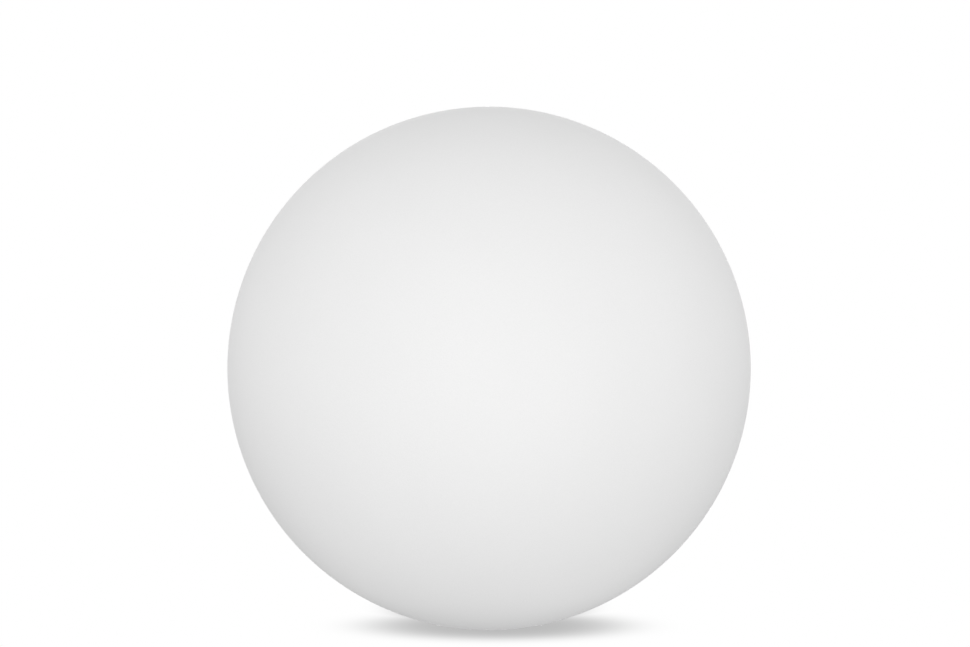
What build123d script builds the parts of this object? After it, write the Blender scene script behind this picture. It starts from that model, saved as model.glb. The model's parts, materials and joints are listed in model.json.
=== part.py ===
from build123d import *
import os
from math import cos, radians, sin, sqrt

# Cordless garden globe light: a white moulded globe that stands on its own flat foot, with a
# round light unit that twists into the neck in that foot. Millimetres, +Z up.
# The origin is on the ground, under the middle of the globe.

# ---------------------------------------------------------------- driving dimensions

# Globe
globe_radius = 200.0
globe_wall = 3.0
foot_radius = 53.0  # where the globe would meet the ground
foot_round = 20.0  # softens the corner between globe and foot
foot_floor = 3.2  # thickness of the foot's standing ring
recess_radius = 46.3  # the pocket in the foot that hides the light unit's cap
recess_edge_round = 1.0
recess_wall = 3.4
neck_radius = 38.6  # the hole through the neck
neck_thickness = 4.0

# Bayonet collar and its six screws into moulded-in inserts
collar_flange_radius = 45.8
collar_flange_thickness = 2.5
collar_radius = 38.2
collar_bore = 35.4
collar_top = 24.0
ledge_bore = 32.6
ledge_bottom = 16.0
ledge_top = 19.0
ledge_arc = 70.0
stop_start = 21.0
stop_arc = 18.0
bayonet_count = 3
gasket_thickness = 1.0
collar_screw_count = 6
collar_screw_circle = 42.2
insert_radius = 2.3
insert_length = 6.0
insert_boss_radius = 3.5
insert_boss_height = 5.5

# Light unit: the cap that shows from below, and the tube above it
cap_face = 2.5  # how far the cap stays off the ground
cap_radius = 44.8
cap_thickness = 3.0
cap_edge_round = 0.9
cap_to_collar = 0.5
grip_count = 36
grip_inner = 33.5
grip_outer = 43.0
grip_width = 1.6
grip_height = 0.9
grip_round = 0.4
land_radius = 35.1  # the fat lower end that carries the collar's O-ring
land_top = 15.0
housing_radius = 32.2
housing_bore = 30.0
deck_thickness = 3.0
lug_radius = 35.0
lug_lift = 0.2
lug_height = 3.0
lug_arc = 40.0
root_overlap = 1.0  # how far lugs and ribs reach into the wall that they grow from

# Seals
collar_ring_wire = 0.95
collar_ring_clearance = 0.25  # to the collar's bore, so that the unit turns freely
collar_ring_height = 10.7
collar_groove_half = 1.3
collar_groove_bottom = 33.2
cap_ring_wire = 0.78
cap_ring_radius = 32.6
cap_groove_half = 1.0
cap_groove_depth = 1.6
cover_ring_wire = 0.56
cover_ring_radius = 25.7
cover_groove_half = 0.8
cover_groove_depth = 1.2

# Screws: shank radius, head radius and head height
m3_shank, m3_head, m3_head_height = 1.45, 2.7, 1.6
m25_shank, m25_head, m25_head_height = 1.2, 2.2, 1.3
thread_gap = 0.05  # between a shank and the hole it is driven into
clearance_gap = 0.2  # between a shank and the hole it passes through
drive_radius = 1.0
drive_sides = 6
drive_depth = 0.9
collar_screw_length = 8.0
cap_screw_count = 4
cap_screw_turn = 45.0  # the first screw's angle from +X
cap_screw_circle = 26.8
cap_screw_length = 12.0
cap_post_radius = 3.4
cap_post_top = 18.0
cradle_screw_count = 3
cradle_screw_turn = 30.0
cradle_screw_circle = 26.6
cradle_screw_length = 8.0
cradle_post_radius = 3.6
cradle_post_length = 9.0
board_screw_offset = 13.5  # the board's screws stand on a square, this far along X and Y
board_screw_length = 5.5
standoff_radius = 2.6
cover_screw_count = 4
cover_screw_turn = 45.0
cover_screw_circle = 29.0
cover_screw_length = 8.0
cover_post_radius = 3.0
cover_post_length = 6.5
cover_post_floor = 1.0  # left closed under the screw's hole
led_screw_count = 3
led_screw_turn = 90.0
led_screw_circle = 19.6
led_screw_length = 5.0

# Charging port in the cap, its socket and its door
well_x = -12.0
well_width = 10.0
well_length = 16.0
well_roof = 9.2
well_wall = 1.5
socket_length = 9.0
socket_width = 3.2
socket_shell = 0.3
socket_depth = 6.5
tongue_length = 6.6
tongue_width = 0.7
tongue_setback = 0.8
gasket_rim = 1.1
door_gap = 0.1
door_inset = 0.1  # the door sits this much deeper than the cap's face
door_thickness = 1.4
door_lap = 1.8  # how far the door laps over the well's edge
door_end = 10.2  # half of the door's length, along Y
door_corner = 1.5
door_edge_round = 0.4
rebate_gap = 0.3
rebate_start = 1.9  # the rebate begins this far from the hinge, so that the pin's seats stay whole
hinge_x = -19.8
barrel_radius = 1.7
barrel_gap = 0.3
barrel_end = 8.8
pin_radius = 0.7
pin_gap = 0.05
pin_mouth = 1.2  # the pin snaps into its seats through slots narrower than itself
pin_end = 10.2
hinge_roof = 7.6
seal_height = 0.8
seal_gap = 0.3
seal_lip = 1.4
nail_notch_radius = 3.0
nail_notch_depth = 1.1

# Power button, its guide in the cap, and its spring
button_x = 11.0
button_radius = 6.8
button_inset = 0.2
button_dish_radius = 22.0
button_dish_depth = 0.5
guide_bore = 7.0
guide_radius = 8.8
guide_top = 9.6
guide_mouth_round = 0.4
flange_radius = 8.4
flange_thickness = 0.8
stem_radius = 2.2
stem_height = 0.2
button_ring_wire = 0.5
button_ring_height = 7.2
button_groove_half = 0.6
button_groove_bottom = 5.7
spring_radius = 7.1
spring_wire = 0.3
spring_turns = 3.5
switch_size = 8.5
switch_corner = 0.7
switch_bottom = 12.4
plunger_radius = 1.5
plunger_length = 3.6
plunger_bore_gap = 0.1
plunger_bore_depth = 3.8

# Status light and breather in the cap
status_y = 14.5
guide_rod_radius = 1.5
guide_rod_top = 15.8
guide_rod_flange = 2.4
guide_rod_flange_height = 1.0
status_led_size = 3.0
status_led_height = 1.0
breather_y = -14.5
breather_head = 4.2
breather_head_height = 1.1
breather_body = 2.9
breather_barb = 3.4
breather_length = 4.9
breather_barb_height = 1.2
breather_hole_circle = 2.4
breather_hole_radius = 0.45
breather_hole_count = 6

# Control board and what is on it
board_bottom = 17.0
board_thickness = 1.6
board_radius = 22.5
connector_size = (6.0, 4.5, 3.2)
battery_connector_y = 12.0
connector_lead_in = 3.0  # straight stretch of a lead where it enters its connector
lead_connector_y = -13.0
charge_chip_size = (5.0, 5.0, 0.9)
charge_chip_place = (-10.0, -6.5)
driver_chip_size = (4.0, 5.0, 1.4)
driver_chip_place = (-11.0, 4.0)
coil_size = (7.0, 7.0, 3.0)
coil_place = (11.0, -5.0)
coil_corner = 1.5
capacitor_size = (3.2, 1.6, 1.6)
capacitor_places = [(4.0, -4.0), (4.0, -1.0), (4.0, 2.0), (-3.5, -4.0), (-3.5, -1.0), (9.0, 4.0), (9.0, 7.0)]

# Three battery cells in two cradles, joined by nickel links
cell_count = 3
cell_radius = 9.2
cell_length = 65.2
cell_circle = 10.9
cell_edge = 0.8
terminal_radius = 4.0
terminal_height = 0.8
cell_gap = 0.15
lower_cradle_bottom = 22.5
lower_cradle_floor = 1.5
lower_cradle_radius = 29.6
lower_cradle_height = 7.5
upper_cradle_radius = 25.5
upper_cradle_height = 7.3
upper_cradle_socket = 5.2
link_thickness = 0.4
link_gap = 0.1
link_disc = 4.5
link_arm = 5.0
link_hub = 5.0
link_tab = 3.4
lead_circle = 18.0
pad_thickness = 1.0
pad_radius = 22.0
rib_count = 3
rib_turn = 90.0
rib_width = 2.0
rib_bottom = 60.0
rib_inner = 25.8

# Leads
lead_radius = 0.75
lead_bend = 2.2
lead_hole = 1.3
lead_run_height = 20.2
pair_y = -18.5
pair_half = 1.0
pair_hole = 2.1
pair_end_y = -8.5
pair_over_board = 2.6
grommet_radius = 3.4
grommet_flange = 4.4
grommet_lip = 0.8

# Light engine on the deck, and its cover
spreader_radius = 23.4
spreader_thickness = 2.0
led_board_radius = 22.6
led_board_thickness = 1.6
led_count = 12
led_circle = 15.0
led_size = 5.0
led_height = 1.5
phosphor_radius = 2.0
phosphor_depth = 0.4
led_connector_y = -5.5
led_connector_size = (7.0, 6.0, 4.0)
cover_bore = 24.2
cover_wall = 1.8
cover_rim_radius = 32.0
cover_rim_height = 3.0
cover_side_height = 5.0
cover_dome_radius = 34.0

# ---------------------------------------------------------------- heights worked out from them

centre_height = sqrt(globe_radius**2 - foot_radius**2)
inner_radius = globe_radius - globe_wall
inner_foot_radius = sqrt(inner_radius**2 - (centre_height - foot_floor) ** 2)
cap_top = cap_face + cap_thickness
collar_bottom = cap_top + cap_to_collar
gasket_bottom = collar_bottom + collar_flange_thickness
seat_height = gasket_bottom + gasket_thickness
neck_top = seat_height + neck_thickness
well_top = well_roof + well_wall
door_top = cap_face + door_inset + door_thickness
door_far = well_x + well_width / 2 + door_lap
pin_height = cap_face + door_inset + barrel_radius
hinge_line = Location((hinge_x, 0, pin_height), (90, 0, 0))
flange_top = guide_top + flange_thickness
stem_top = flange_top + stem_height
board_top = board_bottom + board_thickness
cell_bottom = lower_cradle_bottom + lower_cradle_floor
cell_top = cell_bottom + cell_length
lower_cradle_top = lower_cradle_bottom + lower_cradle_height
upper_cradle_bottom = cell_top - upper_cradle_socket
upper_cradle_top = upper_cradle_bottom + upper_cradle_height
deck_bottom = upper_cradle_top + pad_thickness
deck_top = deck_bottom + deck_thickness
led_board_bottom = deck_top + spreader_thickness
led_board_top = led_board_bottom + led_board_thickness
lead_corner_height = led_board_top + pair_over_board
cover_side_top = deck_top + cover_side_height
rib_root = housing_bore + root_overlap

cell_angles = [90 + i * 360 / cell_count for i in range(cell_count)]
red_lead_angle = 30.0
black_lead_angle = 150.0

up_from = (Align.CENTER, Align.CENTER, Align.MIN)
down_from = (Align.CENTER, Align.CENTER, Align.MAX)

# ---------------------------------------------------------------- shared helpers


def around(radius, angle):
    """The point at that radius and angle about the middle, in plan."""
    return (radius * cos(radians(angle)), radius * sin(radians(angle)))


def ring_sector(inner, outer, start, arc):
    """A flat piece of a ring, from one angle on through an arc."""
    with BuildSketch() as sector:
        with BuildLine():
            far = CenterArc((0, 0), outer, start, arc)
            near = CenterArc((0, 0), inner, start, arc)
            Line(far @ 0, near @ 0)
            Line(far @ 1, near @ 1)
        make_face()
    return sector.sketch


def countersunk_screw(shank, head, head_height, length):
    """A screw with its flat head's face at height 0 and its shank pointing up."""
    with BuildPart() as screw:
        Cone(head, shank, head_height, align=up_from)
        Cylinder(shank, length, align=up_from)
        with BuildSketch():
            RegularPolygon(drive_radius, drive_sides)
        extrude(amount=drive_depth, mode=Mode.SUBTRACT)
    return screw.part


def pan_screw(shank, head, head_height, length):
    """A screw that stands on height 0, with its rounded head above and its shank below."""
    with BuildPart() as screw:
        Cylinder(head, head_height, align=up_from)
        fillet(screw.edges().group_by(Axis.Z)[-1], head_height / 2)
        Cylinder(shank, length, align=down_from)
        with BuildSketch(Plane.XY.offset(head_height)):
            RegularPolygon(drive_radius, drive_sides)
        extrude(amount=-drive_depth, mode=Mode.SUBTRACT)
    return screw.part


def seal_ring(radius, wire, height):
    """A round ring of round rubber cord about the Z axis."""
    with BuildPart() as ring:
        with Locations((0, 0, height)):
            Torus(radius, wire)
    return ring.part


def insulated_lead(points, bends):
    """A round insulated wire along straight runs joined by arcs."""
    with BuildPart() as lead:
        with BuildLine() as route:
            FilletPolyline(*points, radius=bends)
        with BuildSketch(Plane(route.line @ 0, z_dir=route.line % 0)):
            Circle(lead_radius)
        sweep(path=route.line)
    return lead.part


def cell_link(tab_angle):
    """The nickel plate that joins the cells' ends, with a tab for its lead, flat on height 0."""
    tab_length = lead_circle + link_tab / 2
    with BuildPart() as link:
        with BuildSketch():
            Circle(link_hub)
            for angle in cell_angles:
                with Locations(around(cell_circle, angle)):
                    Circle(link_disc)
                with Locations(around(cell_circle / 2, angle)):
                    Rectangle(cell_circle, link_arm, rotation=angle)
            with Locations(around(tab_length / 2, tab_angle)):
                Rectangle(tab_length, link_tab, rotation=tab_angle)
        extrude(amount=link_thickness)
    return link.part


parts = {}


def finish(name, part):
    """Names a finished piece and keeps it for writing out."""
    part.label = name
    parts[name] = part


# ---------------------------------------------------------------- globe

with BuildPart() as globe:
    with BuildSketch(Plane.XZ):
        with BuildLine():
            outside = ThreePointArc(
                (0, centre_height + globe_radius), (globe_radius, centre_height), (foot_radius, 0)
            )
            foot = Polyline(
                outside @ 1,
                (recess_radius, 0),
                (recess_radius, seat_height),
                (neck_radius, seat_height),
                (neck_radius, neck_top),
                (recess_radius + recess_wall, neck_top),
                (recess_radius + recess_wall, foot_floor),
                (inner_foot_radius, foot_floor),
            )
            inside = ThreePointArc(
                foot @ 1, (inner_radius, centre_height), (0, centre_height + inner_radius)
            )
            Line(inside @ 1, outside @ 0)
        make_face()
    revolve(axis=Axis.Z)
    ground_edges = globe.edges().filter_by(GeomType.CIRCLE).group_by(Axis.Z)[0].sort_by(SortBy.RADIUS)
    fillet(ground_edges[-1], foot_round)
    rim = globe.edges().filter_by(GeomType.CIRCLE).group_by(Axis.Z)[0].sort_by(SortBy.RADIUS)[0]
    fillet(rim, recess_edge_round)
    with BuildSketch(Plane.XY.offset(neck_top)):
        with PolarLocations(collar_screw_circle, collar_screw_count):
            Circle(insert_boss_radius)
    extrude(amount=insert_boss_height)
    with BuildSketch(Plane.XY.offset(seat_height)):
        with PolarLocations(collar_screw_circle, collar_screw_count):
            Circle(insert_radius)
    extrude(amount=insert_length, mode=Mode.SUBTRACT)
finish("globe_shell", globe.part)

with BuildPart() as inserts:
    with BuildSketch(Plane.XY.offset(seat_height)):
        with PolarLocations(collar_screw_circle, collar_screw_count):
            Circle(insert_radius)
            Circle(m3_shank + thread_gap, mode=Mode.SUBTRACT)
    extrude(amount=insert_length)
finish("neck_inserts", inserts.part)

with BuildPart() as collar_gasket:
    with BuildSketch(Plane.XY.offset(gasket_bottom)):
        Circle(collar_flange_radius)
        Circle(neck_radius, mode=Mode.SUBTRACT)
        with PolarLocations(collar_screw_circle, collar_screw_count):
            Circle(m3_shank + clearance_gap, mode=Mode.SUBTRACT)
    extrude(amount=gasket_thickness)
finish("collar_gasket", collar_gasket.part)

# ---------------------------------------------------------------- bayonet collar

with BuildPart() as collar:
    with BuildSketch(Plane.XY.offset(collar_bottom)):
        Circle(collar_flange_radius)
    extrude(amount=collar_flange_thickness)
    with BuildSketch(Plane.XY.offset(gasket_bottom)):
        Circle(collar_radius)
    extrude(amount=collar_top - gasket_bottom)
    with BuildSketch(Plane.XY.offset(collar_bottom)):
        Circle(collar_bore)
    extrude(amount=collar_top - collar_bottom, mode=Mode.SUBTRACT)
    with BuildSketch(Plane.XY.offset(ledge_bottom)):
        with PolarLocations(0, bayonet_count):
            add(ring_sector(ledge_bore, collar_radius, -ledge_arc / 2, ledge_arc))
    extrude(amount=ledge_top - ledge_bottom)
    with BuildSketch(Plane.XY.offset(ledge_top)):
        with PolarLocations(0, bayonet_count):
            add(ring_sector(ledge_bore, collar_radius, stop_start, stop_arc))
    extrude(amount=lug_lift + lug_height)
    with Locations(Plane.XY.offset(collar_bottom)):
        with PolarLocations(collar_screw_circle, collar_screw_count):
            Cylinder(m3_shank + clearance_gap, collar_flange_thickness, align=up_from, mode=Mode.SUBTRACT)
            Cone(
                m3_head + thread_gap,
                m3_shank + thread_gap,
                m3_head_height,
                align=up_from,
                mode=Mode.SUBTRACT,
            )
finish("bayonet_collar", collar.part)

collar_screw = countersunk_screw(m3_shank, m3_head, m3_head_height, collar_screw_length)
with BuildPart() as collar_screws:
    with Locations(Plane.XY.offset(collar_bottom)):
        with PolarLocations(collar_screw_circle, collar_screw_count):
            add(collar_screw)
finish("collar_screws", collar_screws.part)

# ---------------------------------------------------------------- light unit housing

with BuildPart() as housing:
    with BuildSketch(Plane.XZ):
        with BuildLine():
            Polyline(
                (housing_bore, cap_top),
                (land_radius, cap_top),
                (land_radius, collar_ring_height - collar_groove_half),
                (collar_groove_bottom, collar_ring_height - collar_groove_half),
                (collar_groove_bottom, collar_ring_height + collar_groove_half),
                (land_radius, collar_ring_height + collar_groove_half),
                (land_radius, land_top),
                (housing_radius, land_top),
                (housing_radius, deck_top),
                (0, deck_top),
                (0, deck_bottom),
                (housing_bore, deck_bottom),
                close=True,
            )
        make_face()
    revolve(axis=Axis.Z)
    # three bayonet lugs
    with BuildSketch(Plane.XY.offset(ledge_top + lug_lift)):
        with PolarLocations(0, bayonet_count):
            add(ring_sector(housing_bore + root_overlap, lug_radius, -lug_arc / 2, lug_arc))
    extrude(amount=lug_height)
    # posts for the cap's screws, the cradle's screws and the cover's screws
    with BuildSketch(Plane.XY.offset(cap_top)):
        with PolarLocations(cap_screw_circle, cap_screw_count, start_angle=cap_screw_turn):
            Circle(cap_post_radius)
    extrude(amount=cap_post_top - cap_top)
    with BuildSketch(Plane.XY.offset(lower_cradle_top)):
        with PolarLocations(cradle_screw_circle, cradle_screw_count, start_angle=cradle_screw_turn):
            Circle(cradle_post_radius)
    extrude(amount=cradle_post_length)
    with BuildSketch(Plane.XY.offset(deck_bottom)):
        with PolarLocations(cover_screw_circle, cover_screw_count, start_angle=cover_screw_turn):
            Circle(cover_post_radius)
    extrude(amount=-cover_post_length)
    # ribs that centre the upper cradle
    with BuildSketch(Plane.XY.offset(rib_bottom)):
        with PolarLocations((rib_inner + rib_root) / 2, rib_count, start_angle=rib_turn):
            Rectangle(rib_root - rib_inner, rib_width)
    extrude(amount=deck_bottom - rib_bottom)
    # threaded holes in the posts
    with BuildSketch(Plane.XY.offset(cap_top)):
        with PolarLocations(cap_screw_circle, cap_screw_count, start_angle=cap_screw_turn):
            Circle(m3_shank + thread_gap)
    extrude(amount=cap_post_top - cap_top, mode=Mode.SUBTRACT)
    with BuildSketch(Plane.XY.offset(lower_cradle_top)):
        with PolarLocations(cradle_screw_circle, cradle_screw_count, start_angle=cradle_screw_turn):
            Circle(m25_shank + thread_gap)
    extrude(amount=cradle_post_length, mode=Mode.SUBTRACT)
    with BuildSketch(Plane.XY.offset(deck_top)):
        with PolarLocations(cover_screw_circle, cover_screw_count, start_angle=cover_screw_turn):
            Circle(m25_shank + thread_gap)
        with PolarLocations(led_screw_circle, led_screw_count, start_angle=led_screw_turn):
            Circle(m25_shank + thread_gap)
    extrude(amount=-deck_thickness, mode=Mode.SUBTRACT)
    with BuildSketch(Plane.XY.offset(deck_bottom)):
        with PolarLocations(cover_screw_circle, cover_screw_count, start_angle=cover_screw_turn):
            Circle(m25_shank + thread_gap)
    extrude(amount=cover_post_floor - cover_post_length, mode=Mode.SUBTRACT)
    # hole for the lead pair's grommet
    with BuildSketch(Plane.XY.offset(deck_bottom)):
        with Locations((0, pair_y)):
            Circle(grommet_radius)
    extrude(amount=deck_thickness, mode=Mode.SUBTRACT)
    # face grooves for the cap's ring below and the cover's ring above
    with BuildSketch(Plane.XY.offset(cap_top)):
        Circle(cap_ring_radius + cap_groove_half)
        Circle(cap_ring_radius - cap_groove_half, mode=Mode.SUBTRACT)
    extrude(amount=cap_groove_depth, mode=Mode.SUBTRACT)
    with BuildSketch(Plane.XY.offset(deck_top)):
        Circle(cover_ring_radius + cover_groove_half)
        Circle(cover_ring_radius - cover_groove_half, mode=Mode.SUBTRACT)
    extrude(amount=-cover_groove_depth, mode=Mode.SUBTRACT)
finish("unit_housing", housing.part)

collar_ring_radius = collar_bore - collar_ring_clearance - collar_ring_wire
finish("collar_o_ring", seal_ring(collar_ring_radius, collar_ring_wire, collar_ring_height))
finish("cap_o_ring", seal_ring(cap_ring_radius, cap_ring_wire, cap_top + cap_groove_depth / 2))
finish("cover_o_ring", seal_ring(cover_ring_radius, cover_ring_wire, deck_top - cover_groove_depth / 2))

# ---------------------------------------------------------------- cap

board_screw_sides = (-board_screw_offset, board_screw_offset)
board_screw_places = [(x, y) for x in board_screw_sides for y in board_screw_sides]
hinge_pocket_half = barrel_radius + barrel_gap
rebate_top = door_top + door_gap
rebate_left = hinge_x + rebate_start
rebate_right = door_far + rebate_gap

with BuildPart() as cap:
    with BuildSketch(Plane.XY.offset(cap_face)):
        Circle(cap_radius)
    extrude(amount=cap_thickness)
    fillet(cap.edges().group_by(Axis.Z)[0], cap_edge_round)
    # grip ribs under the rim, for turning the unit by hand
    with BuildSketch(Plane.XY.offset(cap_face)):
        with PolarLocations((grip_inner + grip_outer) / 2, grip_count):
            SlotOverall(grip_outer - grip_inner, grip_width)
    extrude(amount=-grip_height)
    fillet(cap.edges().group_by(Axis.Z)[0], grip_round)
    # walls inside: charging well, hinge block, button guide and board standoffs
    with BuildSketch(Plane.XY.offset(cap_top)):
        with Locations((well_x, 0)):
            Rectangle(well_width + 2 * well_wall, well_length + 2 * well_wall)
    extrude(amount=well_top - cap_top)
    with BuildSketch(Plane.XY.offset(cap_top)):
        with Locations((hinge_x, 0)):
            Rectangle(2 * (hinge_pocket_half + well_wall), 2 * (pin_end + well_wall))
    extrude(amount=hinge_roof - cap_top)
    with BuildSketch(Plane.XY.offset(cap_top)):
        with Locations((button_x, 0)):
            Circle(guide_radius)
    extrude(amount=guide_top - cap_top)
    with BuildSketch(Plane.XY.offset(cap_top)):
        with Locations(*board_screw_places):
            Circle(standoff_radius)
    extrude(amount=board_bottom - cap_top)
    with BuildSketch(Plane.XY.offset(board_bottom)):
        with Locations(*board_screw_places):
            Circle(m25_shank + thread_gap)
    extrude(amount=-board_screw_length, mode=Mode.SUBTRACT)
    # the well, the slot for the socket and its gasket, and the door's rebate
    with BuildSketch(Plane.XY.offset(cap_face)):
        with Locations((well_x, 0)):
            Rectangle(well_width, well_length)
    extrude(amount=well_roof - cap_face, mode=Mode.SUBTRACT)
    with BuildSketch(Plane.XY.offset(well_roof)):
        with Locations((well_x, 0)):
            SlotOverall(socket_length + 2 * gasket_rim, socket_width + 2 * gasket_rim, rotation=90)
    extrude(amount=well_wall, mode=Mode.SUBTRACT)
    with BuildSketch(Plane.XY.offset(cap_face)):
        with Locations(((rebate_left + rebate_right) / 2, 0)):
            RectangleRounded(rebate_right - rebate_left, 2 * (door_end + rebate_gap), door_corner)
    extrude(amount=rebate_top - cap_face, mode=Mode.SUBTRACT)
    with BuildSketch(Plane.XY.offset(cap_face)):
        with Locations((rebate_right, 0)):
            Circle(nail_notch_radius)
    extrude(amount=nail_notch_depth, mode=Mode.SUBTRACT)
    # pocket for the door's barrel
    with BuildSketch(Plane.XY.offset(cap_face)):
        with Locations((hinge_x, 0)):
            Rectangle(2 * hinge_pocket_half, 2 * (barrel_end + barrel_gap))
    extrude(amount=pin_height + hinge_pocket_half - cap_face, mode=Mode.SUBTRACT)
    # seats for the hinge pin, with the slots that it snaps in through
    with BuildSketch(Plane.XZ.offset(-pin_end)):
        with Locations((hinge_x, pin_height)):
            Circle(pin_radius + pin_gap)
        with Locations((hinge_x, (cap_face + pin_height) / 2)):
            Rectangle(pin_mouth, pin_height - cap_face)
    extrude(amount=2 * pin_end, mode=Mode.SUBTRACT)
    # bores: button, status light, breather and the cap's screws
    with BuildSketch(Plane.XY.offset(cap_face)):
        with Locations((button_x, 0)):
            Circle(guide_bore)
    extrude(amount=guide_top - cap_face, mode=Mode.SUBTRACT)
    face_circles = cap.edges().filter_by(GeomType.CIRCLE).filter_by_position(Axis.Z, cap_face, cap_face)
    fillet(face_circles.sort_by_distance((button_x, 0, cap_face))[0], guide_mouth_round)
    with BuildSketch(Plane.XY.offset(cap_face)):
        with Locations((0, status_y)):
            Circle(guide_rod_radius + thread_gap)
        with Locations((0, breather_y)):
            Circle(breather_body + thread_gap)
        with PolarLocations(cap_screw_circle, cap_screw_count, start_angle=cap_screw_turn):
            Circle(m3_shank + clearance_gap)
    extrude(amount=cap_thickness, mode=Mode.SUBTRACT)
    with BuildSketch(Plane.XY.offset(cap_face)):
        with Locations((0, breather_y)):
            Circle(breather_head + clearance_gap)
    extrude(amount=breather_head_height, mode=Mode.SUBTRACT)
    with Locations(Plane.XY.offset(cap_face)):
        with PolarLocations(cap_screw_circle, cap_screw_count, start_angle=cap_screw_turn):
            Cone(
                m3_head + thread_gap,
                m3_shank + thread_gap,
                m3_head_height,
                align=up_from,
                mode=Mode.SUBTRACT,
            )
finish("base_cap", cap.part)

cap_screw = countersunk_screw(m3_shank, m3_head, m3_head_height, cap_screw_length)
with BuildPart() as cap_screws:
    with Locations(Plane.XY.offset(cap_face)):
        with PolarLocations(cap_screw_circle, cap_screw_count, start_angle=cap_screw_turn):
            add(cap_screw)
finish("cap_screws", cap_screws.part)

with BuildPart() as light_guide:
    with Locations((0, status_y, cap_face + button_inset)):
        Cylinder(guide_rod_radius, guide_rod_top - cap_face - button_inset, align=up_from)
    with Locations((0, status_y, cap_top)):
        Cylinder(guide_rod_flange, guide_rod_flange_height, align=up_from)
    fillet(light_guide.edges().group_by(Axis.Z)[0], guide_rod_radius / 3)
finish("status_light_guide", light_guide.part)

with BuildPart() as breather:
    with Locations((0, breather_y, cap_face)):
        Cylinder(breather_head, breather_head_height, align=up_from)
        Cylinder(breather_body, breather_length, align=up_from)
    with Locations((0, breather_y, cap_top)):
        Cone(breather_barb, breather_body, breather_barb_height, align=up_from)
    fillet(breather.edges().group_by(Axis.Z)[0], breather_head_height / 3)
    with BuildSketch(Plane.XY.offset(cap_face)):
        with Locations((0, breather_y)):
            with PolarLocations(breather_hole_circle, breather_hole_count):
                Circle(breather_hole_radius)
    extrude(amount=breather_length, mode=Mode.SUBTRACT)
finish("breather_plug", breather.part)

# ---------------------------------------------------------------- charging port

with BuildPart() as socket:
    with BuildSketch(Plane.XY.offset(well_roof)):
        with Locations((well_x, 0)):
            SlotOverall(socket_length, socket_width, rotation=90)
    extrude(amount=board_bottom - well_roof)
    with BuildSketch(Plane.XY.offset(well_roof)):
        with Locations((well_x, 0)):
            SlotOverall(socket_length - 2 * socket_shell, socket_width - 2 * socket_shell, rotation=90)
    extrude(amount=socket_depth, mode=Mode.SUBTRACT)
    with BuildSketch(Plane.XY.offset(well_roof + tongue_setback)):
        with Locations((well_x, 0)):
            Rectangle(tongue_width, tongue_length)
    extrude(amount=socket_depth - tongue_setback)
finish("charge_socket", socket.part)

with BuildPart() as socket_gasket:
    with BuildSketch(Plane.XY.offset(well_roof)):
        with Locations((well_x, 0)):
            SlotOverall(socket_length + 2 * gasket_rim, socket_width + 2 * gasket_rim, rotation=90)
            SlotOverall(socket_length, socket_width, rotation=90, mode=Mode.SUBTRACT)
    extrude(amount=well_wall)
finish("socket_gasket", socket_gasket.part)

with BuildPart() as door:
    with BuildSketch(Plane.XY.offset(cap_face + door_inset)):
        with Locations(((hinge_x + door_far) / 2, 0)):
            Rectangle(door_far - hinge_x, 2 * barrel_end)
        with Locations(((well_x - well_width / 2 + door_far) / 2, 0)):
            RectangleRounded(door_far - well_x + well_width / 2, 2 * door_end, door_corner)
    extrude(amount=door_thickness)
    lower_edges = door.edges().group_by(Axis.Z)[0]
    fillet(lower_edges.filter_by_position(Axis.X, well_x - well_width / 2, door_far), door_edge_round)
    with Locations(hinge_line):
        Cylinder(barrel_radius, 2 * barrel_end)
        Cylinder(pin_radius + pin_gap, 2 * barrel_end, mode=Mode.SUBTRACT)
finish("port_door", door.part)

with BuildPart() as hinge_pin:
    with Locations(hinge_line):
        Cylinder(pin_radius, 2 * pin_end)
finish("door_hinge_pin", hinge_pin.part)

with BuildPart() as door_seal:
    with BuildSketch(Plane.XY.offset(door_top)):
        with Locations((well_x, 0)):
            Rectangle(well_width - 2 * seal_gap, well_length - 2 * seal_gap)
            Rectangle(
                well_width - 2 * (seal_gap + seal_lip),
                well_length - 2 * (seal_gap + seal_lip),
                mode=Mode.SUBTRACT,
            )
    extrude(amount=seal_height)
finish("port_door_seal", door_seal.part)

# ---------------------------------------------------------------- power button

with BuildPart() as button:
    with Locations((button_x, 0, cap_face + button_inset)):
        Cylinder(button_radius, flange_top - cap_face - button_inset, align=up_from)
    fillet(button.edges().group_by(Axis.Z)[0], button_dish_depth)
    with Locations((button_x, 0, guide_top)):
        Cylinder(flange_radius, flange_thickness, align=up_from)
    with Locations((button_x, 0, flange_top)):
        Cylinder(stem_radius, stem_height, align=up_from)
    with BuildSketch(Plane.XY.offset(button_ring_height - button_groove_half)):
        with Locations((button_x, 0)):
            Circle(button_radius)
            Circle(button_groove_bottom, mode=Mode.SUBTRACT)
    extrude(amount=2 * button_groove_half, mode=Mode.SUBTRACT)
    with Locations((button_x, 0, cap_face + button_inset + button_dish_depth - button_dish_radius)):
        Sphere(button_dish_radius, mode=Mode.SUBTRACT)
finish("power_button", button.part)

with BuildPart() as button_ring:
    with Locations((button_x, 0, button_ring_height)):
        Torus(button_radius - button_ring_wire, button_ring_wire)
finish("button_o_ring", button_ring.part)

spring_low = flange_top + spring_wire
spring_rise = board_bottom - flange_top - 2 * spring_wire
with BuildPart() as button_spring:
    with BuildLine() as coil_line:
        Helix(spring_rise / spring_turns, spring_rise, spring_radius, center=(button_x, 0, spring_low))
    with BuildSketch(Plane(coil_line.line @ 0, z_dir=coil_line.line % 0)):
        Circle(spring_wire)
    sweep(path=coil_line.line, is_frenet=True)
finish("button_spring", button_spring.part)

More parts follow.
